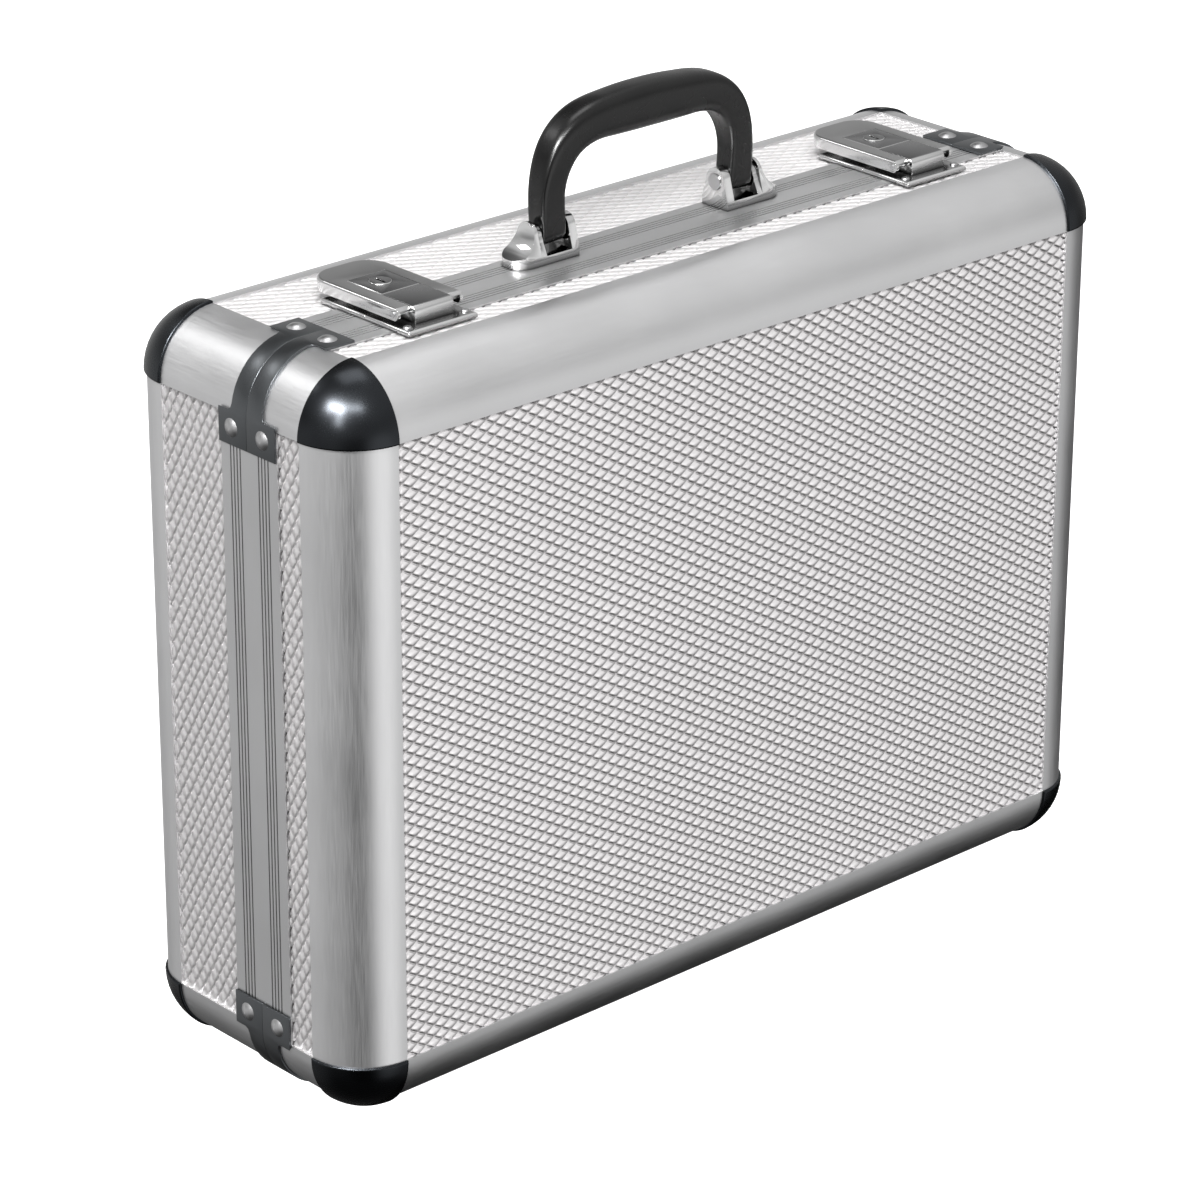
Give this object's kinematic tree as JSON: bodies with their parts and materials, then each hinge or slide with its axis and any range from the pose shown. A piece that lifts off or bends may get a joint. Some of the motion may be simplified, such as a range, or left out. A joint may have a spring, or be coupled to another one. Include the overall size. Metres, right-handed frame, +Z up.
{
  "type": "carry case",
  "caption": "Hard-shell carry case with an aluminium frame, embossed panels, ball corners, draw latches, a swinging bow handle and foam pockets for miniatures.",
  "frame": {"origin": "middle of the footprint, at the soles of the feet of the upright closed case", "axes": "+Z up, +X along the width, -Y towards the lid and +Y towards the base half that carries the handle"},
  "size_m": [0.4656, 0.1526, 0.417],
  "materials": {
    "embossed_panel": "embossed sheet, satin silver",
    "edge_profile": "satin anodised extrusion",
    "ribbed_rim": "satin anodised extrusion with fine ribs",
    "ball_corner": "glossy dark gunmetal",
    "seam_bracket": "satin dark gunmetal",
    "rivet": "domed steel head",
    "handle_grip": "black moulded plastic",
    "handle_mount": "bright chrome plate",
    "pin": "turned steel",
    "latch_plate": "nickel plate",
    "latch_body": "brushed nickel plate",
    "key_plug": "turned nickel plate",
    "hinge": "zinc plated steel",
    "foot": "moulded rubber",
    "foam": "charcoal open-cell foam"
  },
  "bodies": {
    "base": {"base_back_panel": "embossed_panel", "base_ball_corners": "ball_corner", "base_bottom_panel": "embossed_panel", "base_corner_profiles": "edge_profile", "base_edge_bottom": "edge_profile", "base_edge_left": "edge_profile", "base_edge_right": "edge_profile", "base_edge_top": "edge_profile", "base_feet": "foot", "base_left_panel": "embossed_panel", "base_right_panel": "embossed_panel", "base_rim_bottom": "ribbed_rim", "base_rim_left": "ribbed_rim", "base_rim_right": "ribbed_rim", "base_rim_top": "ribbed_rim", "base_rivets": "rivet", "base_seam_brackets": "seam_bracket", "base_top_panel": "embossed_panel", "foam_back_pad": "foam", "foam_cross_strips": "foam", "foam_long_strips": "foam", "handle_mount_left": "handle_mount", "handle_mount_right": "handle_mount", "handle_pins": "pin", "hinge_base_leaves": "hinge", "hinge_pins": "pin", "keeper_plate_left": "latch_plate", "keeper_plate_right": "latch_plate"},
    "lid": {"hinge_lid_leaves": "hinge", "latch_housing_left": "latch_body", "latch_housing_right": "latch_body", "latch_pins": "pin", "latch_plate_left": "latch_plate", "latch_plate_right": "latch_plate", "lid_ball_corners": "ball_corner", "lid_bottom_panel": "embossed_panel", "lid_corner_profiles": "edge_profile", "lid_edge_bottom": "edge_profile", "lid_edge_left": "edge_profile", "lid_edge_right": "edge_profile", "lid_edge_top": "edge_profile", "lid_feet": "foot", "lid_foam_pad": "foam", "lid_front_panel": "embossed_panel", "lid_left_panel": "embossed_panel", "lid_right_panel": "embossed_panel", "lid_rim_bottom": "ribbed_rim", "lid_rim_left": "ribbed_rim", "lid_rim_right": "ribbed_rim", "lid_rim_top": "ribbed_rim", "lid_rivets": "rivet", "lid_seam_brackets": "seam_bracket", "lid_top_panel": "embossed_panel"},
    "handle": {"handle": "handle_grip"},
    "latch_lever_left": {"latch_lever_left": "latch_body", "lock_block_left": "latch_body"},
    "key_left": {"key_plug_left": "key_plug"},
    "latch_lever_right": {"latch_lever_right": "latch_body", "lock_block_right": "latch_body"},
    "key_right": {"key_plug_right": "key_plug"}
  },
  "joints": [
    {"name": "lid_hinge", "type": "hinge", "parent": "base", "child": "lid", "pos_m": [0, -0.013, 0.0028], "axis": [1, 0, 0], "range_deg": [0, 95]},
    {"name": "handle_swing", "type": "hinge", "parent": "base", "child": "handle", "pos_m": [0, -0.00375, 0.36], "axis": [1, 0, 0], "range_deg": [-85, 85]},
    {"name": "latch_left", "type": "hinge", "parent": "lid", "child": "latch_lever_left", "pos_m": [-0.148, -0.0305, 0.3549], "axis": [1, 0, 0], "range_deg": [0, 100]},
    {"name": "key_left_turn", "type": "hinge", "parent": "latch_lever_left", "child": "key_left", "pos_m": [-0.148, -0.001, 0.3555], "axis": [0, 0, 1], "range_deg": [0, 90]},
    {"name": "latch_right", "type": "hinge", "parent": "lid", "child": "latch_lever_right", "pos_m": [0.148, -0.0305, 0.3549], "axis": [1, 0, 0], "range_deg": [0, 100]},
    {"name": "key_right_turn", "type": "hinge", "parent": "latch_lever_right", "child": "key_right", "pos_m": [0.148, -0.001, 0.3555], "axis": [0, 0, 1], "range_deg": [0, 90]}
  ]
}
